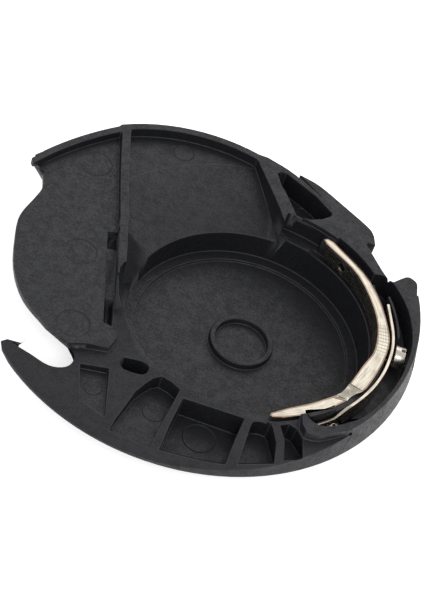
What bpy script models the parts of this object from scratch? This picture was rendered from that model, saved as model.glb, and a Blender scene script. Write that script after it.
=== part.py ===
"""Drop-in bobbin case: a moulded case with a bobbin cup, and its thread tension parts.

Frame: the origin is the centre of the cup's underside, +Z is up along the cup's axis,
+X points to the tension parts. The pieces are drawn in millimetres, which keeps the solid
operations exact, and settle() turns each one into metres. Heights named *_Z are measured from
the cup's floor, which lies FLOOR above the underside.
"""
import math

import bmesh
import bpy
from mathutils import Matrix, Vector

MM = 0.001                # metres in a millimetre

# Cup
FLOOR = 1.4               # thickness of the cup's base
BORE_R = 10.8             # cup wall at its foot
BORE_TOP_R = 11.15        # the wall opens upwards by its draft angle
LEDGE_R, LEDGE_Z = 9.8, 0.27
CUP_OUTER_R = 12.2
RING_OUTER_R, RING_INNER_R, RING_Z = 2.9, 2.4, 0.63

# Levels above the cup's floor
RIM_Z = 5.4               # rim, dividing rib and land
DECK_Z = 4.6              # left deck
SCOOP_Z, SCOOP_EDGE_Z = 4.35, 2.65
SCOOP_CREASE_R = 17.9
FLANGE_EDGE_Z = 2.8       # widest line of the flange, front and right
DECK_EDGE_Z = 4.0         # the same line under the left deck
FLANGE_LOW_Z = 2.3
TUB_LOW_Z, TUB_R = 0.5, 18.9
SEAT_Z = 4.05             # seat of the guide plate's finger
LIP_SEAT_Z = 4.9          # seat of the guide plate's lip
GROOVE_Z, PIT_Z = 2.9, 2.4  # floor of the tension groove, and round the fixing screw

# Flange: it is eccentric to the cup
FLANGE_C, FLANGE_R = (-4.95, 1.75), 20.1
HORN_INNER_R = 19.4
BEVEL_W = 0.5             # draft of the outer edge on the right
RIM_WALL = 0.7
LEFT_RIM_C, LEFT_RIM_R = (3.77, -7.29), 30.94
SCOOP_RIM_C, SCOOP_RIM_R = (-7.68, 2.39), 16.34

# Tension parts
PLATE_T = 0.35
PLATE_OUTER_R = 12.2
PLATE_START, PLATE_JOG, PLATE_END = 69.0, -26.0, -68.0
SKIRT_R, SKIRT_T, SKIRT_LOW_Z = 11.2, 0.25, 3.4
LEAF_T, LEAF_LOW_Z, LEAF_TOP_Z, LEAF_END_Z = 0.3, 2.75, 5.3, 4.5
LEAF_PIVOT_R = 12.6
ADJUSTER_ANGLE, FIXING_ANGLE = 5.5, -43.0
ADJUSTER_Z, FIXING_Z = 4.15, 3.6
ADJUSTER_HEAD_R, FIXING_HEAD_R, SHANK_R = 1.0, 0.85, 0.45
HEAD_START_R = 12.97
KEEPER_R, KEEPER_T = 4.1, 0.5
GAP = 0.2                 # running gap between neighbouring pieces
WELD = 0.004              # points nearer than this are one point


# ---------------------------------------------------------------- helpers

def clear_scene():
    for item in list(bpy.data.objects):
        bpy.data.objects.remove(item, do_unlink=True)


def new_collection(name):
    group = bpy.data.collections.new(name)
    bpy.context.scene.collection.children.link(group)
    return group


def make_material(name, colour, roughness, metallic):
    material = bpy.data.materials.new(name)
    material.use_nodes = True
    shader = material.node_tree.nodes["Principled BSDF"]
    shader.inputs["Base Color"].default_value = (*colour, 1.0)
    shader.inputs["Roughness"].default_value = roughness
    shader.inputs["Metallic"].default_value = metallic
    return material


def polar(radius, degrees, centre=(0.0, 0.0)):
    turn = math.radians(degrees)
    return (centre[0] + radius * math.cos(turn), centre[1] + radius * math.sin(turn))


def arc(radius, start, stop, centre=(0.0, 0.0), step=4.0):
    """Points along an arc, both ends included, about one for every step degrees."""
    count = max(2, math.ceil(abs(stop - start) / step))
    return [polar(radius, start + (stop - start) * i / count, centre) for i in range(count + 1)]


def smooth(points, steps=4):
    """A smooth open path through the points (Catmull-Rom)."""
    path = [Vector(p) for p in points]
    path = [2 * path[0] - path[1], *path, 2 * path[-1] - path[-2]]
    curve = []
    for a, b, c, d in zip(path, path[1:], path[2:], path[3:]):
        for i in range(steps):
            t = i / steps
            curve.append(0.5 * (2 * b + (c - a) * t + (2 * a - 5 * b + 4 * c - d) * t * t
                                + (3 * b - a - 3 * c + d) * t ** 3))
    curve.append(path[-2])
    return [tuple(p) for p in curve]


def ramp(value, low, high):
    """0 at low and 1 at high, with soft ends."""
    t = min(1.0, max(0.0, (value - low) / (high - low)))
    return t * t * (3 - 2 * t)


def place(mesh, name, group):
    item = bpy.data.objects.new(name, mesh)
    group.objects.link(item)
    return item


def evaluated_mesh(item):
    bpy.context.view_layer.update()
    return bpy.data.meshes.new_from_object(item.evaluated_get(bpy.context.evaluated_depsgraph_get()))


def prism(name, outline, low, high, group):
    """A flat outline given thickness, from height low to height high above the floor."""
    curve = bpy.data.curves.new(name, "CURVE")
    curve.dimensions = "2D"
    curve.fill_mode = "BOTH"
    curve.extrude = (high - low) / 2
    spline = curve.splines.new("POLY")
    spline.points.add(len(outline) - 1)
    for point, (x, y) in zip(spline.points, outline):
        point.co = (x, y, 0.0, 1.0)
    spline.use_cyclic_u = True
    sketch = place(curve, name + "_sketch", group)
    sketch.location.z = (low + high) / 2 + FLOOR
    mesh = evaluated_mesh(sketch)
    mesh.transform(sketch.matrix_world)
    mesh.name = name
    bpy.data.objects.remove(sketch, do_unlink=True)
    weld(mesh)
    return place(mesh, name, group)


def turned(name, profile, group, steps=96):
    """A profile of (radius, height) from top to bottom, turned about the cup's axis."""
    mesh = bpy.data.meshes.new(name)
    edges = [(i, i + 1) for i in range(len(profile) - 1)]
    mesh.from_pydata([(r, 0.0, z + FLOOR) for r, z in profile], edges, [])
    item = place(mesh, name, group)
    screw = item.modifiers.new("turn", "SCREW")
    screw.steps = screw.render_steps = steps
    screw.use_merge_vertices = True
    screw.merge_threshold = 0.0001
    solid = evaluated_mesh(item)
    item.modifiers.clear()
    item.data = solid
    weld(solid, flat_faces=True)
    return item


def weld(mesh, flat_faces=False):
    form = bmesh.new()
    form.from_mesh(mesh)
    bmesh.ops.remove_doubles(form, verts=form.verts, dist=WELD)
    bmesh.ops.dissolve_degenerate(form, edges=form.edges, dist=WELD)
    if flat_faces:
        bmesh.ops.triangulate(form, faces=form.faces)
    bmesh.ops.recalc_face_normals(form, faces=form.faces)
    form.to_mesh(mesh)
    form.free()


def reshape(item, rule, planes=()):
    """Moves each point by rule(x, y, z) in floor millimetres, after cuts at the given heights."""
    form = bmesh.new()
    form.from_mesh(item.data)
    for height in planes:
        everything = form.verts[:] + form.edges[:] + form.faces[:]
        bmesh.ops.bisect_plane(form, geom=everything, dist=1e-7, plane_no=(0, 0, 1),
                               plane_co=(0, 0, height + FLOOR))
    for vert in form.verts:
        x, y, z = rule(vert.co.x, vert.co.y, vert.co.z - FLOOR)
        vert.co = (x, y, z + FLOOR)
    bmesh.ops.triangulate(form, faces=form.faces)
    form.to_mesh(item.data)
    form.free()


def rod(name, radius, start, stop, angle, height, group, sides=32):
    """A cylinder on a radial line of the cup, from radius start to radius stop."""
    form = bmesh.new()
    bmesh.ops.create_cone(form, cap_ends=True, segments=sides, radius1=radius, radius2=radius,
                          depth=stop - start)
    turn = Matrix.Rotation(math.radians(angle), 4, "Z") @ Matrix.Rotation(math.pi / 2, 4, "Y")
    x, y = polar((start + stop) / 2, angle)
    form.transform(Matrix.Translation((x, y, height + FLOOR)) @ turn)
    mesh = bpy.data.meshes.new(name)
    form.to_mesh(mesh)
    form.free()
    return place(mesh, name, group)


def boolean(item, tool, operation, solver="MANIFOLD"):
    """Joins or cuts two closed solids. EXACT leaves slivers open where many cutters meet."""
    step = item.modifiers.new(tool.name, "BOOLEAN")
    step.operation = operation
    step.object = tool
    step.solver = solver
    solid = evaluated_mesh(item)
    item.modifiers.remove(step)
    item.data = solid


def cut(item, *tools):
    for tool in tools:
        boolean(item, tool, "DIFFERENCE")


def join(item, *tools):
    for tool in tools:
        boolean(item, tool, "UNION")


def settle(item, material, origin=(0.0, 0.0, 0.0)):
    """Turns a piece into metres and puts its origin where it is asked for."""
    solid = item.data
    weld(solid)
    solid.transform(Matrix.Scale(MM, 4) @ Matrix.Translation(-Vector(origin)))
    item.location = Vector(origin) * MM
    item.data.materials.clear()
    item.data.materials.append(material)
    item.data.shade_smooth()
    item.data.set_sharp_from_angle(angle=math.radians(30))


# ---------------------------------------------------------------- case body

def flange_outline():
    """The case's outline at its widest line, clockwise from the right."""
    horn = smooth([(-19.1, -12.2), (-18.5, -11.9), (-16.5, -12.35), (-14.6, -12.85), (-13.3, -12.5),
                   (-12.85, -11.7), (-13.3, -11.05), (-14.6, -10.45)])
    left = smooth([(-16.0, -9.8), (-18.8, -7.7), (-20.7, -4.7), (-21.9, -0.6), (-22.1, 1.4),
                   (-21.6, 3.8), (-21.4, 5.3), (-21.9, 7.0)])
    crest = smooth([(-3.4, 18.4), (-0.5, 17.5), (3.7, 15.1), (7.8, 12.1), (11.0, 9.0)])
    return [*arc(FLANGE_R, 19.0, -133.0, FLANGE_C, 3.0), *horn, *left,
            *arc(LEFT_RIM_R, 150.4, 133.0, LEFT_RIM_C, 2.0),
            *arc(SCOOP_RIM_R, 125.5, 78.0, SCOOP_RIM_C),
            *crest]


def flange_shape(x, y, z):
    """Undercuts the flange below its widest line and slopes its outer edge on the right."""
    dx, dy = x - FLANGE_C[0], y - FLANGE_C[1]
    angle = math.degrees(math.atan2(dy, dx))
    right = ramp(angle, -110.0, -50.0) * (1 - ramp(angle, 25.0, 45.0))
    left = ramp(-x, 8.0, 13.0) * ramp(y, -14.0, -10.6)
    inset = 0.0
    if z > DECK_EDGE_Z:
        inset = BEVEL_W * right
    elif z < FLANGE_EDGE_Z:
        inset = 1.0 + 1.2 * left
    else:
        z = FLANGE_EDGE_Z + (DECK_EDGE_Z - FLANGE_EDGE_Z) * left
    reach = math.hypot(dx, dy)
    if y < -11.75 and reach < HORN_INNER_R:
        inset = 0.0                               # the horn's inner edge stays upright
    scale = 1 - inset / reach
    return FLANGE_C[0] + dx * scale, FLANGE_C[1] + dy * scale, z


def front_top(x, y):
    """Height of the front of the case, which falls away towards its outer edge."""
    return 4.1 + 0.035 * x + 0.133 * (y + 12.0)


def make_flange(group):
    flange = prism("case_body", flange_outline(), FLANGE_LOW_Z, RIM_Z, group)
    reshape(flange, flange_shape, planes=[(FLANGE_EDGE_Z + DECK_EDGE_Z) / 2])
    return flange


def tub_shape(x, y, z):
    """Leans the tub's wall inwards towards its underside."""
    dx, dy = x - FLANGE_C[0], y - FLANGE_C[1]
    scale = 1 - (2.2 / math.hypot(dx, dy) if z < 1.5 else 0.0)
    return FLANGE_C[0] + dx * scale, FLANGE_C[1] + dy * scale, z


def case_additions(tools):
    tub_left = smooth([(-12.3, -13.2), (-12.6, -11.2), (-14.5, -9.0), (-16.8, -7.0), (-18.4, -4.2),
                       (-19.3, -0.6), (-19.4, 2.5), (-19.0, 6.0), (-18.0, 9.5), (-15.8, 12.6),
                       (-12.0, 15.4), (-8.0, 16.6), (-3.4, 16.7), (0.0, 15.4), (4.0, 13.0),
                       (8.0, 10.4)], 3)
    cup = turned("cup_outside", [(0, 4.0), (CUP_OUTER_R, 4.0), (CUP_OUTER_R, FLANGE_LOW_Z),
                                 (CUP_OUTER_R - 0.3, -1.0), (CUP_OUTER_R - 0.7, -FLOOR),
                                 (0, -FLOOR)], tools)
    tub = prism("tub", [*arc(TUB_R, 20.0, -112.0, FLANGE_C), *tub_left], TUB_LOW_Z, 2.6, tools)
    reshape(tub, tub_shape)
    wing_edge = smooth([(-0.1, 18.1), (2.0, 17.6), (4.5, 16.3), (7.2, 14.8), (8.1, 14.0),
                        (8.6, 12.7)])
    wing = prism("wing", [*wing_edge, (7.9, 12.7), (7.4, 11.6), (4.0, 13.6), (3.0, 15.9)],
                 3.9, 5.05, tools)
    lug = prism("lug", smooth([(11.1, 9.2), (11.9, 10.15), (12.5, 10.45), (13.2, 10.1), (13.45, 9.0),
                               (13.7, 7.4)]) + [(13.0, 5.5), (10.5, 8.0)], 3.9, 4.9, tools)
    beak = prism("beak", [(-21.9, 6.8), (-22.4, 7.0), (-23.0, 7.0), (-23.3, 7.4), (-22.9, 8.1),
                          (-21.5, 8.9)], 4.7, RIM_Z, tools)
    return [cup, tub, wing, lug, beak]


def rib_edge(offset):
    """One side of the dividing rib, offset to the right of its left side."""
    shifted = [(x + offset, y) for x, y in
               [(-16.8, 14.6), (-16.0, 11.6), (-15.0, 8.1), (-14.0, 4.7), (-13.2, 1.6), (-12.5, -1.0)]]
    return smooth(shifted)


def deck_cut(tools):
    wall = arc(LEFT_RIM_R - RIM_WALL, 150.4, 133.3, LEFT_RIM_C, 2.0)
    lower = [(-11.9, -3.5), (-11.3, -5.6), (-10.2, -7.6), (-7.2, -9.2), (-7.2, -12.0), (-26.0, -12.0),
             (-26.0, 5.0), (-22.8, 7.2)]
    return prism("deck_space", [*wall, *rib_edge(0.0), *lower], DECK_Z, 7.0, tools)


def scoop_cut(tools):
    wall = arc(SCOOP_RIM_R - RIM_WALL, 122.8, 79.0, SCOOP_RIM_C)
    right = [(-4.25, 17.6), (-2.45, 15.0), (-0.85, 12.6), (0.9, 9.6), (0.0, 0.0), (-9.0, -2.3),
             (-10.8, -2.3)]
    region = prism("scoop_space", [*wall, *right, *reversed(rib_edge(0.85))], -1.0, 7.5, tools)
    crease = turned("scoop_floor", [(0, 9.0), (30.0, 9.0), (30.0, SCOOP_Z), (SCOOP_CREASE_R, SCOOP_Z),
                                    (11.0, SCOOP_EDGE_Z), (5.0, SCOOP_EDGE_Z - 1.5),
                                    (0, SCOOP_EDGE_Z - 1.5)], tools)
    boolean(region, crease, "INTERSECT")
    return region


def front_cut(tools):
    edge = [(-26.0, -11.0), (-14.2, -11.0), (-12.2, -10.1), (-10.4, -9.75), (-10.1, -8.3),
            (-10.72, -7.55), (-11.58, -4.4), (-12.35, -1.9), (-9.0, -1.9), (-7.0, -6.0), (-5.0, -8.0),
            (3.5, -8.0), (5.0, -10.0), (6.75, -9.85), (6.95, -10.8)]
    boss = smooth([(7.5, -11.5), (8.7, -11.3), (10.0, -10.4), (11.4, -9.4), (13.4, -8.3)])
    space = prism("front_space", [*edge, *boss, (18.0, -8.3), (18.0, -24.0), (-26.0, -24.0)],
                  FLANGE_LOW_Z, 9.0, tools)
    reshape(space, lambda x, y, z: (x, y, front_top(x, y) if z < 5.0 else z))
    return space


def flare(x, y, z):
    """Draws a cutter's points in towards the cup's foot, for a wall that leans outwards."""
    radius = math.hypot(x, y)
    share = min(1.0, (z - LEDGE_Z) / (DECK_Z - LEDGE_Z))
    foot = min(radius, BORE_R)
    scale = (foot + (radius - foot) * share) / radius
    return x * scale, y * scale, z


def wall_cuts(tools):
    """The leaning wall at the cup's left, the notch in front, and the trough by the rib."""
    lean = prism("left_lean", [(-9.0, 0.4), (-11.2, 0.3), (-12.0, -0.6), (-12.15, -1.4), (-11.4, -3.8),
                               (-10.65, -5.1), (-9.5, -6.6), (-8.4, -7.85), (-7.2, -8.85),
                               (-5.3, -9.8), (-4.0, -8.0)], LEDGE_Z, 7.0, tools)
    reshape(lean, flare, planes=[DECK_Z])
    notch = prism("notch", [(-3.1, -9.0), (-2.8, -10.8), (-2.1, -11.2), (1.1, -11.05), (1.6, -11.1),
                            (2.6, -10.6), (2.7, -9.0)], LEDGE_Z, 7.0, tools)
    trough = prism("trough", [(-14.45, 2.9), (-13.4, -0.95), (-12.5, -4.3), (-11.7, -7.3),
                              (-10.85, -7.4), (-11.66, -3.9), (-12.55, -0.5), (-13.55, 3.2)],
                   4.3, 7.0, tools)
    trough_far = prism("trough_far", [(-14.4, 2.7), (-13.95, 1.2), (-13.1, 1.4), (-13.6, 3.0)],
                       3.6, 7.0, tools)
    trough_near = prism("trough_near", [(-12.4, -4.5), (-11.75, -7.1), (-10.95, -7.2), (-11.6, -4.3)],
                        3.2, 7.0, tools)
    return [lean, notch, trough, trough_far, trough_near]


def pocket_cuts(tools):
    """The cored pockets of the front, from left to right, and the land's pocket. The outlines
    are those at height 3.4, and the near walls lean in towards the floors."""
    outlines = {
        "oblong": smooth([(-9.0, -9.7), (-7.4, -9.5), (-6.7, -9.9), (-7.0, -10.7), (-8.6, -10.8),
                          (-9.2, -10.4)]),
        "square": [(-12.2, -11.7), (-9.8, -11.2), (-8.7, -15.9), (-11.1, -15.2)],
        "wedge": [(-7.0, -12.5), (-6.5, -11.5), (-6.0, -10.7), (-5.4, -10.25), (-4.5, -10.45),
                  (-3.6, -10.9), (-4.3, -17.3), (-7.9, -17.1)],
        "wide": [(-3.1, -11.6), (2.3, -11.5), (2.0, -16.2), (0.1, -16.7), (-3.5, -17.2)],
        "keystone": [(3.0, -11.8), (3.2, -11.3), (3.8, -11.1), (4.5, -11.1), (4.8, -11.5),
                     (5.8, -14.3), (3.0, -15.7)],
        "corner": [(5.3, -11.0), (6.0, -10.6), (6.7, -10.8), (7.9, -12.7), (7.5, -13.1), (6.5, -13.6)],
    }
    floors = {"square": 3.1, "oblong": 1.8, "wedge": 2.6, "wide": 1.8, "keystone": 2.4, "corner": 2.6}
    pockets = [prism(name, outline, floors[name], 7.0, tools) for name, outline in outlines.items()]
    for pocket in pockets:
        reshape(pocket, lambda x, y, z: (x, y - 0.85 * (z - 3.4) if y < -12.6 else y, z))
    land = prism("land_pocket", [(-2.1, 16.8), (-1.8, 17.2), (-1.3, 17.25), (2.0, 15.7), (3.9, 14.3),
                                 (3.9, 13.9), (3.1, 13.0), (0.7, 13.4), (-1.3, 15.4)], 3.0, 7.0, tools)
    step = prism("land_step", [(-0.9, 15.0), (0.2, 13.4), (0.9, 12.3), (2.4, 12.6), (3.1, 13.1),
                               (1.0, 14.2)], 4.5, 7.0, tools)
    return pockets + [land, step]


def groove_outer():
    return smooth([(9.2, 8.8), (10.2, 9.0), (11.4, 8.2), (13.0, 6.0), (14.0, 3.1), (14.2, 0.3),
                   (13.7, -3.0), (12.6, -6.2), (11.2, -8.4), (9.4, -9.9), (8.3, -10.3), (7.4, -10.0),
                   (7.1, -9.6)], 3)


def tension_cuts(tools):
    """Seats of the guide plate, and the groove that the leaf and the screws lie in."""
    lip = prism("lip_seat", [*arc(PLATE_OUTER_R + 0.3, 86.0, -40.0), *arc(8.0, -40.0, 86.0)],
                LIP_SEAT_Z, 7.0, tools)
    skirt_r = SKIRT_R + SKIRT_T + GAP
    skirt = prism("skirt_seat", [*arc(skirt_r, 74.0, -3.0), *arc(8.0, -3.0, 74.0)],
                  SKIRT_LOW_Z - GAP, 7.0, tools)
    mouth = prism("mouth", [*arc(12.35, 90.0, 71.0), *arc(8.0, 71.0, 90.0)], 3.3, 7.0, tools)
    seat = prism("finger_seat", [*arc(11.85, PLATE_JOG - 0.5, -78.0), *arc(8.0, -78.0, PLATE_JOG - 0.5)],
                 SEAT_Z, 7.0, tools)
    groove = prism("groove", [*groove_outer(), *arc(12.3, -53.0, 37.0, step=5.0)], GROOVE_Z, 7.0, tools)
    pit = prism("pit", [*arc(13.9, -55.0, -34.0), *arc(12.3, -34.0, -55.0)], PIT_Z, 3.5, tools)
    entry = prism("plate_edge", [*arc(12.75, 40.0, 66.0), *arc(11.5, 66.0, 40.0)], 4.3, 7.0, tools)
    return [lip, skirt, mouth, seat, groove, pit, entry]


def screw_cuts(tools):
    return [rod("adjuster_way", SHANK_R + GAP, 11.6, 12.9, ADJUSTER_ANGLE, ADJUSTER_Z, tools, 24),
            rod("fixing_way", SHANK_R + GAP, 11.3, 12.9, FIXING_ANGLE, FIXING_Z, tools, 24),
            rod("driver_way", 0.8, 13.6, 17.0, ADJUSTER_ANGLE, ADJUSTER_Z, tools, 24)]


def make_case(group, tools, material):
    case = make_flange(group)
    join(case, *case_additions(tools))
    bore = turned("bore", [(0, 8.0), (BORE_TOP_R + 0.15, 8.0), (BORE_R, LEDGE_Z), (LEDGE_R, LEDGE_Z),
                           (LEDGE_R, 0), (0, 0)], tools)
    cut(case, bore, deck_cut(tools), scoop_cut(tools), front_cut(tools), *wall_cuts(tools),
        *pocket_cuts(tools), *tension_cuts(tools))
    fence = prism("leaf_fence", [*arc(13.3, 33.0, 12.0), *arc(13.05, 12.0, 33.0)], 2.0, 5.0, tools)
    ring = turned("centre_ring", [(RING_INNER_R + 0.1, RING_Z), (RING_OUTER_R - 0.08, RING_Z),
                                  (RING_OUTER_R, RING_Z - 0.1), (RING_OUTER_R + 0.05, -0.3),
                                  (RING_INNER_R, -0.3), (RING_INNER_R, RING_Z - 0.1),
                                  (RING_INNER_R + 0.1, RING_Z)], tools, 64)
    join(case, fence, ring)
    recess = turned("keeper_space", [(0, KEEPER_T + GAP - FLOOR), (KEEPER_R + GAP, KEEPER_T + GAP - FLOOR),
                                     (KEEPER_R + GAP, -FLOOR - 1.0), (0, -FLOOR - 1.0)], tools, 64)
    cut(case, recess, *screw_cuts(tools))
    settle(case, material)
    return case


# ---------------------------------------------------------------- tension parts

def guide_plate_outline():
    """The plate in plan: a wide band, then a finger that narrows to a point."""
    inner = smooth([polar(11.15, 67.5), polar(11.12, 45.0), polar(11.12, 20.0), polar(11.1, 1.0),
                    polar(10.72, -12.0), polar(10.9, PLATE_JOG), polar(10.75, -32.0),
                    polar(10.5, -45.0), polar(10.55, -58.0), polar(11.05, -67.5)])
    tip = [polar(11.3, PLATE_END), polar(11.45, -67.0)]
    outer = smooth([polar(11.5, -62.0), polar(11.6, -45.0), polar(11.65, -33.0), polar(11.75, PLATE_JOG - 3),
                    polar(PLATE_OUTER_R, PLATE_JOG + 4), polar(PLATE_OUTER_R, 0.0),
                    polar(PLATE_OUTER_R - 0.1, 15.0), polar(PLATE_OUTER_R - 0.35, 40.0),
                    polar(PLATE_OUTER_R - 0.35, 66.0)])
    end = [polar(11.75, PLATE_START), polar(11.4, PLATE_START + 0.8)]
    return [*inner, *tip, *outer, *end]


def plate_lift(x, y, z):
    """The finger sits lower than the band, past a short joggle."""
    angle = math.degrees(math.atan2(y, x))
    drop = (LIP_SEAT_Z - SEAT_Z) * (1 - ramp(angle, PLATE_JOG - 5.0, PLATE_JOG))
    return x, y, z - drop


def make_guide_plate(group, tools, material):
    low = LIP_SEAT_Z + 0.12
    plate = prism("guide_plate", guide_plate_outline(), low, low + PLATE_T, group)
    reshape(plate, plate_lift)
    skirt = prism("skirt", [*arc(SKIRT_R + SKIRT_T, 67.0, 1.0), *arc(SKIRT_R, 1.0, 67.0)],
                  SKIRT_LOW_Z, low + PLATE_T / 2, tools)
    join(plate, skirt)
    cut(plate, rod("thread_eye", 0.42, 10.0, 12.0, 56.0, 4.2, tools, 20))
    settle(plate, material)
    return plate


def leaf_line(offset):
    """The leaf's middle line in plan, moved outwards by offset."""
    radii = [(12.62, 28.0), (12.6, 10.0), (12.58, -5.0), (12.55, -20.0), (12.6, -36.0), (12.62, -50.0)]
    return smooth([polar(r + offset, a) for r, a in radii], 5)


def leaf_height(x, y, z):
    """The leaf is tall where the thread runs and low where it is held."""
    angle = math.degrees(math.atan2(y, x))
    tall = ramp(angle, -43.0, -35.0)
    if z < 4.0:
        return x, y, z + tall * (3.3 - LEAF_LOW_Z)
    return x, y, LEAF_END_Z + tall * (LEAF_TOP_Z - LEAF_END_Z)


def make_leaf(group, tools, material):
    leaf = prism("tension_leaf", [*leaf_line(LEAF_T / 2), *reversed(leaf_line(-LEAF_T / 2))],
                 LEAF_LOW_Z, LEAF_TOP_Z, group)
    reshape(leaf, leaf_height)
    cut(leaf, rod("leaf_hole_a", SHANK_R + 0.25, 12.0, 13.2, ADJUSTER_ANGLE, ADJUSTER_Z, tools, 24),
        rod("leaf_hole_b", SHANK_R + GAP, 12.0, 13.2, FIXING_ANGLE, FIXING_Z, tools, 24))
    settle(leaf, material, (*polar(LEAF_PIVOT_R, FIXING_ANGLE), FIXING_Z + FLOOR))
    return leaf


def make_screw(name, angle, height, head_r, head_length, group, tools, material):
    """A slotted cheese-head screw on a radial line, its origin on its own axis."""
    outer = HEAD_START_R + head_length
    head = rod(name, head_r, HEAD_START_R, outer, angle, height, group, 40)
    shank = rod(name + "_shank", SHANK_R, 11.75, HEAD_START_R + 0.3, angle, height, tools, 28)
    slot = prism(name + "_slot", [(outer - 0.4, -0.16), (outer + 1.0, -0.16), (outer + 1.0, 0.16),
                                  (outer - 0.4, 0.16)], height - 2.0, height + 2.0, tools)
    slot.data.transform(Matrix.Rotation(math.radians(angle), 4, "Z"))
    join(head, shank)
    cut(head, slot)
    settle(head, material, (*polar(outer, angle), height + FLOOR))
    return head


def make_keeper(group, material):
    keeper = turned("keeper_disc", [(0, KEEPER_T - FLOOR), (KEEPER_R - 0.1, KEEPER_T - FLOOR),
                                    (KEEPER_R, KEEPER_T - FLOOR - 0.1), (KEEPER_R, -FLOOR),
                                    (0, -FLOOR)], group, 64)
    settle(keeper, material)
    return keeper


def main():
    clear_scene()
    parts = new_collection("bobbin_case")
    tools = new_collection("cutters")
    plastic = make_material("black_plastic", (0.05, 0.05, 0.055), 0.55, 0.0)
    spring_steel = make_material("spring_steel", (0.75, 0.70, 0.62), 0.25, 1.0)
    screw_steel = make_material("screw_steel", (0.72, 0.68, 0.6), 0.3, 1.0)
    plain_steel = make_material("plain_steel", (0.5, 0.5, 0.5), 0.4, 1.0)
    make_case(parts, tools, plastic)
    make_guide_plate(parts, tools, spring_steel)
    make_leaf(parts, tools, spring_steel)
    make_screw("adjusting_screw", ADJUSTER_ANGLE, ADJUSTER_Z, ADJUSTER_HEAD_R, 0.95, parts, tools,
               screw_steel)
    make_screw("fixing_screw", FIXING_ANGLE, FIXING_Z, FIXING_HEAD_R, 0.45, parts, tools, screw_steel)
    make_keeper(parts, plain_steel)
    for tool in list(tools.objects):
        bpy.data.objects.remove(tool, do_unlink=True)


main()
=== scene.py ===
import math

import bmesh
import bpy
from bpy.props import FloatProperty, FloatVectorProperty, PointerProperty
from mathutils import Matrix, Vector


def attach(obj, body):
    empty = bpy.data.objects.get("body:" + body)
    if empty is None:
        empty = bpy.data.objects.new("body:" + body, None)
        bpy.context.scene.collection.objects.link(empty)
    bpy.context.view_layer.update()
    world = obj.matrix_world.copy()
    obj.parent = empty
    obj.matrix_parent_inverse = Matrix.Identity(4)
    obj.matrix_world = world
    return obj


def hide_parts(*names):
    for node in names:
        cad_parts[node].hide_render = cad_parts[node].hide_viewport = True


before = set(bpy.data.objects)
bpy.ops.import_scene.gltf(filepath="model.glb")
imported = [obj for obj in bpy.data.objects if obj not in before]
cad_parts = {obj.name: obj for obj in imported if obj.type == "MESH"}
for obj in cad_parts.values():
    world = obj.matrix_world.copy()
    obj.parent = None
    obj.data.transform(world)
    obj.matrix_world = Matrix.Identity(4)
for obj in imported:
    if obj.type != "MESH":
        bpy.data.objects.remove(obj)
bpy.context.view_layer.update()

bl_info = {
    "name": "Drop-in Bobbin Case",
    "version": (1, 0, 0),
    "blender": (4, 5, 0),
    "location": "3D View > Sidebar > Bobbin Case",
    "description": "Builds a moulded bobbin case with its steel thread tension parts",
    "category": "Add Mesh",
}

# Discs left by the mould's ejector pins: centre and radius in metres. Each is on a level top.
PIN_MARKS = (
    ((-0.0179, 0.0104, 0.0060), 0.00155),
    ((-0.0159, -0.0005, 0.0060), 0.00150),
    ((-0.0140, -0.0086, 0.0060), 0.00150),
    ((-0.0109, 0.0160, 0.00575), 0.00100),
    ((-0.0007, -0.0133, 0.0032), 0.00150),
    ((-0.01045, -0.0132, 0.0045), 0.00080),
    ((-0.0050, -0.0130, 0.0040), 0.00100),
    ((0.00135, 0.0152, 0.0044), 0.00080),
)
CREASE_RADIUS = 0.0179            # where the scoop's floor turns down towards the cup
SCOOP_TOP = 0.00575               # height of the scoop's level floor
TROUGH_X = (-0.0147, -0.0105)     # the narrow trough beside the rib
TROUGH_Y = (-0.0077, 0.0035)
TROUGH_TOP = 0.0062

CROSS_MARK_RATE = 190.0           # sine waves of the strip's cross marks, per radian
CROSS_MARK_START = (-0.06, 0.02)  # where they fade in and out, in radians round the cup
CROSS_MARK_END = (0.20, 0.34)
STREAK_STRETCH = 0.0006           # metres of noise that one radian of the strip spans
DULL_STEEL = (0.0042, 0.0050)     # heights between which the steel turns from dull to bright

FACE_MARKS = ("rounded_edge", "cut_margin")
MARGIN_SHADE = 0.8                # how far a marked margin takes the cut edges' colour
MERGE_DISTANCE = 0.000002
LEVEL_ANGLE = math.radians(1.0)   # faces flatter than this to each other become one
SHARP_ANGLE = math.radians(50)    # shading breaks at edges sharper than this
SHORT_EDGES = 2.2                 # edges under this many rounding widths stay sharp

VIEW_CENTRE = (0.0, 0.0, 0.0014)
VIEW_SHIFT = (-0.002502, 0.003918)  # right and up
LIGHT_TARGET = (-0.003, 0.0, 0.004)


# ---------------------------------------------------------------- settings

class CaseSettings(bpy.types.PropertyGroup):
    edge_round: FloatProperty(name="Edge Round", description="Width of the moulding's rounded edges",
                              default=0.00008, min=0.0, unit="LENGTH")
    short_edge: FloatProperty(name="Short Edge", description="Edges shorter than this are closed up",
                              default=0.00002, min=0.0, unit="LENGTH")
    colour: FloatVectorProperty(name="Plastic", description="Colour of the moulded plastic",
                                default=(0.0072, 0.0076, 0.0098), subtype="COLOR")
    # Painted highlight: the lighter colour put on the rounded edges and along the crease in the
    # scoop.
    edge_highlight_colour: FloatVectorProperty(name="Edges", description="Colour of its lighter edges",
                                     default=(0.024, 0.024, 0.028), subtype="COLOR")
    grain_size: FloatProperty(name="Grain Size", description="Size of the matt surface's grain",
                              default=0.00016, min=0.00001, unit="LENGTH")
    grain_depth: FloatProperty(name="Grain Depth", description="Depth of the matt surface's grain",
                               default=0.000040, min=0.0, unit="LENGTH")
    pin_depth: FloatProperty(name="Pin Mark Depth", description="Depth of the ejector pins' marks",
                             default=0.00006, min=0.0, unit="LENGTH")


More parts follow.
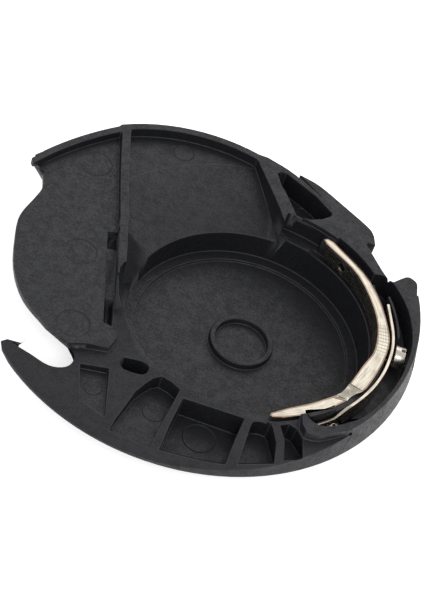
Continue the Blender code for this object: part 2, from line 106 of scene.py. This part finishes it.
class SteelSettings(bpy.types.PropertyGroup):
    edge_round: FloatProperty(name="Edge Round", description="Width of the strip's rounded edges",
                              default=0.00005, min=0.0, unit="LENGTH")
    strip_colour: FloatVectorProperty(name="Strip", description="Colour of the bright spring strip",
                                      default=(0.62, 0.57, 0.475), subtype="COLOR")
    cut_colour: FloatVectorProperty(name="Cut Edges", description="Colour of the strip's cut edges",
                                    default=(0.22, 0.13, 0.09), subtype="COLOR")
    screw_colour: FloatVectorProperty(name="Screws", description="Colour of the turned screws",
                                      default=(0.70, 0.64, 0.56), subtype="COLOR")
    disc_colour: FloatVectorProperty(name="Keeper Disc", description="Colour of the pressed disc",
                                     default=(0.46, 0.46, 0.47), subtype="COLOR")
    cut_margin: FloatProperty(name="Cut Margin", description="Width of the strip's darker margin",
                              default=0.00013, min=0.0, unit="LENGTH")
    line_size: FloatProperty(name="Line Size", description="Spacing of the rolling and turning lines",
                             default=0.00008, min=0.00001, unit="LENGTH")


class StageSettings(bpy.types.PropertyGroup):
    floor_size: FloatProperty(name="Floor Size", description="Width of the pale floor",
                              default=1.6, min=0.1, unit="LENGTH")
    floor_colour: FloatVectorProperty(name="Floor", description="Colour of the pale floor",
                                      default=(0.93, 0.93, 0.93), subtype="COLOR")
    floor_glow: FloatProperty(name="Floor Glow", description="How much the floor lights itself",
                              default=0.62, min=0.0)
    lens: FloatProperty(name="Lens", description="Focal length for a 36 mm wide frame",
                        default=120.0, min=10.0)
    view_distance: FloatProperty(name="View Distance", description="Camera to the cup's floor",
                                 default=0.1781, min=0.01, unit="LENGTH")
    view_height: FloatProperty(name="View Height", description="Camera's height above the horizon",
                               default=math.radians(46.9), subtype="ANGLE")
    view_roll: FloatProperty(name="View Roll", description="Turn of the picture about its centre",
                             default=math.radians(-20.4), subtype="ANGLE")
    key_power: FloatProperty(name="Top Light", description="Power of the softbox overhead",
                             default=0.40, min=0.0, unit="POWER")
    fill_power: FloatProperty(name="Front Light", description="Power of the light by the camera",
                              default=0.22, min=0.0, unit="POWER")
    sky: FloatProperty(name="Sky", description="Strength of the even light all round",
                       default=0.72, min=0.0)


# ---------------------------------------------------------------- shared node groups

class Wiring:
    """A node tree with short ways to add nodes and join their sockets."""

    def __init__(self, tree):
        self.tree = tree

    def add(self, kind, settings=None, inputs=None):
        node = self.tree.nodes.new(kind)
        for name, value in (settings or {}).items():
            setattr(node, name, value)
        for name, value in (inputs or {}).items():
            self.feed(node.inputs[name], value)
        return node

    def feed(self, socket, value):
        if isinstance(value, bpy.types.NodeSocket):
            self.tree.links.new(value, socket)
        else:
            socket.default_value = value

    def math(self, operation, *values):
        node = self.add("ShaderNodeMath", {"operation": operation})
        for socket, value in zip(node.inputs, values):
            self.feed(socket, value)
        return node.outputs[0]

    def blend(self, factor, first, second):
        node = self.add("ShaderNodeMix", {"data_type": "RGBA"})
        for index, value in ((0, factor), (6, first), (7, second)):
            self.feed(node.inputs[index], value)
        return node.outputs[2]

    def span(self, value, low, high, to_low=0.0, to_high=1.0):
        node = self.add("ShaderNodeMapRange", {"interpolation_type": "SMOOTHSTEP"},
                        {"Value": value, "From Min": low, "From Max": high, "To Min": to_low,
                         "To Max": to_high})
        return node.outputs["Result"]


def effect_group(name, inputs, outputs):
    """An empty node group with the named sockets, its wiring and its two end nodes."""
    group = bpy.data.node_groups.new(name, "ShaderNodeTree")
    for label, kind in inputs:
        group.interface.new_socket(label, in_out="INPUT", socket_type=kind)
    for label in outputs:
        group.interface.new_socket(label, in_out="OUTPUT", socket_type="NodeSocketFloat")
    wiring = Wiring(group)
    return group, wiring, wiring.add("NodeGroupInput"), wiring.add("NodeGroupOutput")


def grain_group():
    """Mottled grain of glass-filled plastic: a colour mask, bright flecks and a height."""
    name = "Moulded Grain"
    if name in bpy.data.node_groups:
        return bpy.data.node_groups[name]
    group, w, given, result = effect_group(
        name, [("Place", "NodeSocketVector"), ("Size", "NodeSocketFloat")],
        ["Mottle", "Fleck", "Height"])
    rate = w.math("DIVIDE", 1.0, given.outputs["Size"])
    fine = w.add("ShaderNodeTexNoise", inputs={"Vector": given.outputs["Place"], "Scale": rate,
                                               "Detail": 3.0, "Roughness": 0.6})
    broad = w.add("ShaderNodeTexNoise", inputs={"Vector": given.outputs["Place"],
                                                "Scale": w.math("MULTIPLY", rate, 0.16),
                                                "Detail": 4.0, "Roughness": 0.65})
    flow = w.add("ShaderNodeMapping", inputs={"Vector": given.outputs["Place"],
                                              "Rotation": (0.0, 0.0, 0.9), "Scale": (1.0, 5.0, 1.0)})
    streak = w.add("ShaderNodeTexNoise", inputs={"Vector": flow.outputs["Vector"],
                                                 "Scale": w.math("MULTIPLY", rate, 0.3),
                                                 "Detail": 2.0})
    mottle = w.math("ADD", w.math("MULTIPLY", fine.outputs["Fac"], 0.5),
                    w.math("ADD", w.math("MULTIPLY", broad.outputs["Fac"], 0.35),
                           w.math("MULTIPLY", streak.outputs["Fac"], 0.15)))
    cell = w.add("ShaderNodeTexVoronoi", {"feature": "F1"},
                 {"Vector": flow.outputs["Vector"], "Scale": w.math("MULTIPLY", rate, 0.4)})
    w.feed(result.inputs["Mottle"], w.span(mottle, 0.36, 0.64))
    w.feed(result.inputs["Fleck"], w.span(cell.outputs["Distance"], 0.10, 0.22, 1.0, 0.0))
    w.feed(result.inputs["Height"], mottle)
    return group


def pin_group():
    """A disc round a centre: 1 inside, 0 outside, with a narrow soft edge."""
    name = "Pin Mark"
    if name in bpy.data.node_groups:
        return bpy.data.node_groups[name]
    group, w, given, result = effect_group(
        name, [("Place", "NodeSocketVector"), ("Centre", "NodeSocketVector"),
               ("Radius", "NodeSocketFloat")], ["Disc", "Edge"])
    apart = w.add("ShaderNodeVectorMath", {"operation": "DISTANCE"})
    w.feed(apart.inputs[0], given.outputs["Place"])
    w.feed(apart.inputs[1], given.outputs["Centre"])
    share = w.math("DIVIDE", apart.outputs["Value"], given.outputs["Radius"])
    off_edge = w.math("ABSOLUTE", w.math("SUBTRACT", share, 0.96))
    w.feed(result.inputs["Disc"], w.span(share, 0.90, 1.02, 1.0, 0.0))
    w.feed(result.inputs["Edge"], w.span(off_edge, 0.0, 0.10, 1.0, 0.0))
    return group


def line_group():
    """Fine lines that run round the cup's axis, as on rolled strip bent to its wall."""
    name = "Rolling Lines"
    if name in bpy.data.node_groups:
        return bpy.data.node_groups[name]
    group, w, given, result = effect_group(
        name, [("Place", "NodeSocketVector"), ("Size", "NodeSocketFloat")], ["Lines", "Patch"])
    parts = w.add("ShaderNodeSeparateXYZ", inputs={"Vector": given.outputs["Place"]})
    x, y, z = parts.outputs
    radius = w.math("SQRT", w.math("ADD", w.math("MULTIPLY", x, x), w.math("MULTIPLY", y, y)))
    turn = w.math("MULTIPLY", w.math("ARCTAN2", y, x), STREAK_STRETCH)
    bent = w.add("ShaderNodeCombineXYZ", inputs={"X": radius, "Y": turn, "Z": z})
    rate = w.math("DIVIDE", 1.0, given.outputs["Size"])
    lines = w.add("ShaderNodeTexNoise", inputs={"Vector": bent.outputs["Vector"], "Scale": rate,
                                                "Detail": 3.0})
    patch = w.add("ShaderNodeTexNoise", inputs={"Vector": given.outputs["Place"], "Scale": 900.0,
                                                "Detail": 4.0})
    w.feed(result.inputs["Lines"], w.span(lines.outputs["Fac"], 0.3, 0.7))
    w.feed(result.inputs["Patch"], w.span(patch.outputs["Fac"], 0.35, 0.7))
    return group


def edge_wear_and_highlight_group():
    """Uneven patches along the rounded edges that a piece's own mask gives: painted highlight on the
    plastic, worn edge colour on the steel.
    """
    name = "Edge Wear"
    if name in bpy.data.node_groups:
        return bpy.data.node_groups[name]
    group, w, given, result = effect_group(
        name, [("Place", "NodeSocketVector"), ("Edge", "NodeSocketFloat")], ["Wear"])
    patchy = w.add("ShaderNodeTexNoise", inputs={"Vector": given.outputs["Place"], "Scale": 1400.0,
                                                 "Detail": 3.0})
    w.feed(result.inputs["Wear"], w.math("MULTIPLY", given.outputs["Edge"],
                                         w.span(patchy.outputs["Fac"], 0.25, 0.65, 0.35, 1.0)))
    return group


# ---------------------------------------------------------------- materials

def start_material(name):
    """A new material with its wiring, its shader node and its Object coordinates."""
    material = bpy.data.materials.new(name)
    material.use_nodes = True
    wiring = Wiring(material.node_tree)
    place = wiring.add("ShaderNodeTexCoord").outputs["Object"]
    return material, wiring, material.node_tree.nodes["Principled BSDF"], place


def edge_wear_and_highlight(wiring, place):
    """How strongly each point of the rounded edges takes its edge colour: painted highlight on the
    plastic, worn edge colour on the steel.
    """
    mask = wiring.add("ShaderNodeAttribute", {"attribute_name": "rounded_edge"}).outputs["Fac"]
    wear_and_highlight = wiring.add("ShaderNodeGroup", {"node_tree": edge_wear_and_highlight_group()}, {"Place": place, "Edge": mask})
    return wear_and_highlight.outputs["Wear"]


def moulded_plastic(settings):
    """Black plastic with a mottled grain and pin marks; its rounded edges and the crease in the scoop
    are lightened as painted highlight.
    """
    material, w, shader, place = start_material("Glass-filled Plastic")
    grain = w.add("ShaderNodeGroup", {"node_tree": grain_group()},
                  {"Place": place, "Size": settings.grain_size})
    dark = [c * 0.45 for c in settings.colour] + [1.0]
    light = [c * 1.75 for c in settings.colour] + [1.0]
    body = w.blend(grain.outputs["Mottle"], dark, light)
    fleck = w.math("MULTIPLY", grain.outputs["Fleck"], 0.5)
    body = w.blend(fleck, body, [c * 3.0 for c in settings.colour] + [1.0])
    sunk, rim = 0.0, 0.0
    for centre, radius in PIN_MARKS:
        mark = w.add("ShaderNodeGroup", {"node_tree": pin_group()},
                     {"Place": place, "Centre": centre, "Radius": radius})
        sunk = w.math("MAXIMUM", sunk, mark.outputs["Disc"])
        rim = w.math("MAXIMUM", rim, mark.outputs["Edge"])
    body = w.blend(w.math("MULTIPLY", rim, 0.45), body, [c * 0.5 for c in settings.colour] + [1.0])
    parts = w.add("ShaderNodeSeparateXYZ", inputs={"Vector": place})
    flat = w.add("ShaderNodeCombineXYZ", inputs={"X": parts.outputs["X"], "Y": parts.outputs["Y"]})
    reach = w.add("ShaderNodeVectorMath", {"operation": "LENGTH"}, {"Vector": flat.outputs["Vector"]})
    # Painted highlight: a thin ring along the scoop's crease, lightened towards the edge colour.
    off_crease = w.math("ABSOLUTE", w.math("SUBTRACT", reach.outputs["Value"], CREASE_RADIUS))
    crease_highlight = w.span(off_crease, 0.00003, 0.00010, 1.0, 0.0)
    off_level = w.math("ABSOLUTE", w.math("SUBTRACT", parts.outputs["Z"], SCOOP_TOP))
    crease_highlight = w.math("MULTIPLY", crease_highlight, w.span(off_level, 0.00005, 0.00010, 1.0, 0.0))
    # The rounded edges and the crease take the lighter edge colour as painted highlight.
    wear_and_highlight = w.math("MAXIMUM", edge_wear_and_highlight(w, place), w.math("MULTIPLY", crease_highlight, 0.8))
    colour = w.blend(wear_and_highlight, body, (*settings.edge_highlight_colour, 1.0))
    w.feed(shader.inputs["Base Color"], colour)
    w.feed(shader.inputs["Roughness"], w.span(grain.outputs["Mottle"], 0.0, 1.0, 0.62, 0.40))
    shader.inputs["Specular IOR Level"].default_value = 0.42
    marks = w.add("ShaderNodeBump", inputs={"Strength": 1.0, "Distance": settings.pin_depth,
                                            "Height": w.math("SUBTRACT", 1.0, sunk)})
    bumps = w.add("ShaderNodeBump", inputs={"Strength": 1.0, "Distance": settings.grain_depth,
                                            "Height": grain.outputs["Height"],
                                            "Normal": marks.outputs["Normal"]})
    w.feed(shader.inputs["Normal"], bumps.outputs["Normal"])
    return material


def lined_steel(name, colour, edge_colour, line_size, smooth, rough, cross_marks=False):
    """Steel with fine lines round the cup, darker margins and, if asked, a patch of cross marks."""
    material, w, shader, place = start_material(name)
    lines = w.add("ShaderNodeGroup", {"node_tree": line_group()}, {"Place": place, "Size": line_size})
    dull = [c * 0.52 for c in colour] + [1.0]
    streaks = w.math("MULTIPLY", lines.outputs["Lines"], w.math("ADD", lines.outputs["Patch"], 0.25))
    face = w.blend(w.math("MULTIPLY", streaks, 0.7), (*colour, 1.0), dull)
    parts = w.add("ShaderNodeSeparateXYZ", inputs={"Vector": place})
    if cross_marks:
        turn = w.math("ARCTAN2", parts.outputs["Y"], parts.outputs["X"])
        ticks = w.span(w.math("SINE", w.math("MULTIPLY", turn, CROSS_MARK_RATE)), 0.1, 0.8)
        window = w.math("MULTIPLY", w.span(turn, *CROSS_MARK_START),
                        w.span(turn, *CROSS_MARK_END, 1.0, 0.0))
        ticks = w.math("MULTIPLY", w.math("MULTIPLY", ticks, window), 0.55)
        face = w.blend(ticks, face, [c * 0.35 for c in colour] + [1.0])
    margin = w.add("ShaderNodeAttribute", {"attribute_name": "cut_margin"}).outputs["Fac"]
    face = w.blend(w.math("MAXIMUM", margin, edge_wear_and_highlight(w, place)), face, (*edge_colour, 1.0))
    w.feed(shader.inputs["Base Color"], face)
    w.feed(shader.inputs["Roughness"], w.span(lines.outputs["Lines"], 0.0, 1.0, smooth, rough))
    w.feed(shader.inputs["Metallic"], w.span(parts.outputs["Z"], *DULL_STEEL, 0.55, 1.0))
    bump = w.add("ShaderNodeBump", inputs={"Strength": 0.5, "Distance": 0.000004,
                                           "Height": lines.outputs["Lines"]})
    w.feed(shader.inputs["Normal"], bump.outputs["Normal"])
    return material


# ---------------------------------------------------------------- pieces

def copied_form(node, short_edge):
    """A bmesh of a frame node in place, merged, with its level faces made whole."""
    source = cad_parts[node]
    form = bmesh.new()
    form.from_mesh(source.data)
    form.transform(source.matrix_world)
    for mark in FACE_MARKS:
        form.faces.layers.float.new(mark)
    bmesh.ops.remove_doubles(form, verts=form.verts, dist=MERGE_DISTANCE)
    bmesh.ops.dissolve_degenerate(form, edges=form.edges, dist=short_edge)
    bmesh.ops.dissolve_limit(form, angle_limit=LEVEL_ANGLE, verts=form.verts, edges=form.edges)
    return form


def in_trough(place):
    """True in the narrow trough beside the rib, whose walls are too close to round."""
    return (TROUGH_X[0] < place.x < TROUGH_X[1] and TROUGH_Y[0] < place.y < TROUGH_Y[1]
            and place.z < TROUGH_TOP)


def round_edges(form, width, corner):
    """Rounds the edges sharper than corner degrees and marks the new faces.

    An edge next to a short one, or in the trough, stays sharp: its rounding would cross itself.
    """
    shortest = SHORT_EDGES * width
    tight = {vert for edge in form.edges if edge.calc_length() < shortest for vert in edge.verts}
    tight.update(vert for vert in form.verts if in_trough(vert.co))
    sharp = [edge for edge in form.edges
             if len(edge.link_faces) == 2 and edge.calc_face_angle(0.0) > math.radians(corner)
             and not tight.intersection(edge.verts)]
    made = bmesh.ops.bevel(form, geom=sharp, offset=width, offset_type="OFFSET", segments=2,
                           profile=0.5, affect="EDGES", clamp_overlap=False, material=-1)
    mark = form.faces.layers.float["rounded_edge"]
    for face in made["faces"]:
        face[mark] = 1.0


def finish_piece(form, name, node, body, material):
    """Makes the form an object that rides on its body and stands for its frame node."""
    mesh = bpy.data.meshes.new(name)
    form.to_mesh(mesh)
    form.free()
    piece = bpy.data.objects.new(name, mesh)
    bpy.context.scene.collection.objects.link(piece)
    mesh.materials.append(material)
    mesh.shade_smooth()
    mesh.set_sharp_from_angle(angle=SHARP_ANGLE)
    even = piece.modifiers.new("Even Shading", "WEIGHTED_NORMAL")
    even.keep_sharp = True
    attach(piece, body)
    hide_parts(node)


def mark_margin(form, width):
    """Insets the level top faces and marks the strip left along their cut edges."""
    tops = [face for face in form.faces if face.normal.z > 0.9]
    made = bmesh.ops.inset_region(form, faces=tops, thickness=width, use_even_offset=True,
                                  use_boundary=True)
    mark = form.faces.layers.float["cut_margin"]
    for face in made["faces"]:
        face[mark] = MARGIN_SHADE


def build_from_frame(node, name, body, material, width, short_edge=0.00001, corner=28.0,
                     margin=0.0):
    """Makes one finished piece from a frame node; a width or margin of 0 leaves that step out."""
    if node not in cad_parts:
        raise RuntimeError("the frame has no node called " + node)
    form = copied_form(node, short_edge)
    if margin:
        mark_margin(form, margin)
    if width:
        round_edges(form, width, corner)
    finish_piece(form, name, node, body, material)


class BOBBIN_OT_case(bpy.types.Operator):
    """Build the moulded case with its rounded edges and matt grain"""
    bl_idname = "bobbin.case"
    bl_label = "Moulded Case"

    def execute(self, context):
        settings = context.scene.bobbin_case
        build_from_frame("case_body", "moulded_case", "case",
                         moulded_plastic(settings), settings.edge_round, settings.short_edge)
        return {"FINISHED"}


class BOBBIN_OT_guide_plate(bpy.types.Operator):
    """Build the steel thread guide plate along the cup's wall"""
    bl_idname = "bobbin.guide_plate"
    bl_label = "Thread Guide Plate"

    def execute(self, context):
        settings = context.scene.bobbin_steel
        material = lined_steel("Bright Guide Strip", settings.strip_colour, settings.cut_colour,
                               settings.line_size, 0.20, 0.36, cross_marks=True)
        build_from_frame("guide_plate", "thread_guide_strip", "case", material,
                         width=0.0, margin=settings.cut_margin)
        return {"FINISHED"}


class BOBBIN_OT_tension_leaf(bpy.types.Operator):
    """Build the leaf spring that presses on the thread"""
    bl_idname = "bobbin.tension_leaf"
    bl_label = "Tension Leaf"

    def execute(self, context):
        settings = context.scene.bobbin_steel
        material = lined_steel("Tempered Leaf", settings.strip_colour, settings.cut_colour,
                               settings.line_size, 0.18, 0.34)
        build_from_frame("tension_leaf", "thread_tension_leaf", "leaf", material,
                         settings.edge_round)
        return {"FINISHED"}


class BOBBIN_OT_screws(bpy.types.Operator):
    """Build the adjusting screw and the leaf's fixing screw"""
    bl_idname = "bobbin.screws"
    bl_label = "Tension Screws"

    def execute(self, context):
        settings = context.scene.bobbin_steel
        material = lined_steel("Turned Screw Steel", settings.screw_colour,
                               [c * 0.8 for c in settings.screw_colour], settings.line_size,
                               0.20, 0.36)
        build_from_frame("adjusting_screw", "leaf_adjusting_screw", "adjuster", material,
                         settings.edge_round)
        build_from_frame("fixing_screw", "leaf_fixing_screw", "case", material,
                         settings.edge_round)
        return {"FINISHED"}


class BOBBIN_OT_keeper_disc(bpy.types.Operator):
    """Build the steel keeper disc in the underside"""
    bl_idname = "bobbin.keeper_disc"
    bl_label = "Keeper Disc"

    def execute(self, context):
        settings = context.scene.bobbin_steel
        material = lined_steel("Pressed Disc Steel", settings.disc_colour,
                               [c * 1.2 for c in settings.disc_colour], settings.line_size * 2,
                               0.30, 0.48)
        build_from_frame("keeper_disc", "pressed_keeper_disc", "case", material,
                         settings.edge_round)
        return {"FINISHED"}


# ---------------------------------------------------------------- stage

def view_axes(settings):
    """The camera's right, up and backward directions."""
    height, roll = settings.view_height, settings.view_roll
    right = Vector((1.0, 0.0, 0.0))
    up = Vector((0.0, math.sin(height), math.cos(height)))
    back = Vector((0.0, -math.cos(height), math.sin(height)))
    turned_right = math.cos(roll) * right - math.sin(roll) * up
    turned_up = math.sin(roll) * right + math.cos(roll) * up
    return turned_right, turned_up, back


def aim(item, place, target):
    """Puts an object at place with its -Z axis towards target."""
    way = Vector(target) - Vector(place)
    item.matrix_world = Matrix.Translation(place) @ way.to_track_quat("-Z", "Y").to_matrix().to_4x4()


def softbox(name, power, width, depth, place):
    """An area light that points at the case."""
    light = bpy.data.lights.new(name, "AREA")
    light.shape = "RECTANGLE"
    light.energy, light.size, light.size_y = power, width, depth
    item = bpy.data.objects.new(name, light)
    bpy.context.scene.collection.objects.link(item)
    aim(item, place, LIGHT_TARGET)


class BOBBIN_OT_stage(bpy.types.Operator):
    """Add the pale floor, the soft lights and the camera"""
    bl_idname = "bobbin.stage"
    bl_label = "Studio Stage"

    def execute(self, context):
        scene, settings = context.scene, context.scene.bobbin_stage
        form = bmesh.new()
        bmesh.ops.create_grid(form, x_segments=1, y_segments=1, size=settings.floor_size / 2,
                              matrix=Matrix.Translation((0.0, 0.0, -0.00005)))
        mesh = bpy.data.meshes.new("Pale Floor")
        form.to_mesh(mesh)
        form.free()
        floor = bpy.data.objects.new("pale_floor", mesh)
        scene.collection.objects.link(floor)
        material, w, shader, place = start_material("Pale Paper")
        cloudy = w.add("ShaderNodeTexNoise", inputs={"Vector": place, "Scale": 8.0})
        w.feed(shader.inputs["Base Color"],
               w.blend(w.math("MULTIPLY", cloudy.outputs["Fac"], 0.1), (*settings.floor_colour, 1.0),
                       [c * 0.97 for c in settings.floor_colour] + [1.0]))
        shader.inputs["Roughness"].default_value = 0.9
        shader.inputs["Specular IOR Level"].default_value = 0.1
        shader.inputs["Emission Color"].default_value = (1.0, 1.0, 1.0, 1.0)
        shader.inputs["Emission Strength"].default_value = settings.floor_glow
        mesh.materials.append(material)

        world = bpy.data.worlds.new("Even Sky")
        world.use_nodes = True
        world.node_tree.nodes["Background"].inputs["Color"].default_value = (1.0, 1.0, 1.0, 1.0)
        world.node_tree.nodes["Background"].inputs["Strength"].default_value = settings.sky
        scene.world = world
        softbox("Overhead Softbox", settings.key_power, width=0.50, depth=0.26,
                place=(0.03, 0.34, 0.30))
        softbox("Front Light", settings.fill_power, width=0.07, depth=0.07,
                place=(0.04, -0.20, 0.23))

        right, up, back = view_axes(settings)
        target = Vector(VIEW_CENTRE) + VIEW_SHIFT[0] * right + VIEW_SHIFT[1] * up
        camera = bpy.data.objects.new("Camera", bpy.data.cameras.new("Camera"))
        camera.data.sensor_width = 36.0
        camera.data.lens = settings.lens
        camera.data.clip_start = 0.005
        turn = Matrix((right, up, back)).transposed().to_4x4()
        camera.matrix_world = Matrix.Translation(target + settings.view_distance * back) @ turn
        scene.collection.objects.link(camera)
        scene.camera = camera
        scene.view_settings.view_transform = "Standard"
        return {"FINISHED"}


class BOBBIN_PT_panel(bpy.types.Panel):
    """Lists the pieces of the bobbin case"""
    bl_idname = "BOBBIN_PT_panel"
    bl_label = "Bobbin Case"
    bl_space_type = "VIEW_3D"
    bl_region_type = "UI"
    bl_category = "Bobbin Case"

    def draw(self, context):
        column = self.layout.column(align=True)
        for operator in OPERATORS:
            column.operator(operator.bl_idname)
        for settings in (context.scene.bobbin_case, context.scene.bobbin_steel,
                         context.scene.bobbin_stage):
            box = self.layout.box()
            for name in settings.bl_rna.properties.keys():
                if name not in ("rna_type", "name"):
                    box.prop(settings, name)


SETTINGS = {"bobbin_case": CaseSettings, "bobbin_steel": SteelSettings, "bobbin_stage": StageSettings}
OPERATORS = (BOBBIN_OT_case, BOBBIN_OT_guide_plate, BOBBIN_OT_tension_leaf, BOBBIN_OT_screws,
             BOBBIN_OT_keeper_disc, BOBBIN_OT_stage)


def register():
    for name, group in SETTINGS.items():
        bpy.utils.register_class(group)
        setattr(bpy.types.Scene, name, PointerProperty(type=group))
    for item in (*OPERATORS, BOBBIN_PT_panel):
        bpy.utils.register_class(item)


def unregister():
    for item in (BOBBIN_PT_panel, *reversed(OPERATORS)):
        bpy.utils.unregister_class(item)
    for name, group in SETTINGS.items():
        delattr(bpy.types.Scene, name)
        bpy.utils.unregister_class(group)


def main():
    register()
    bpy.ops.bobbin.case()
    bpy.ops.bobbin.guide_plate()
    bpy.ops.bobbin.tension_leaf()
    bpy.ops.bobbin.screws()
    bpy.ops.bobbin.keeper_disc()
    bpy.ops.bobbin.stage()


if __name__ == "__main__":
    main()
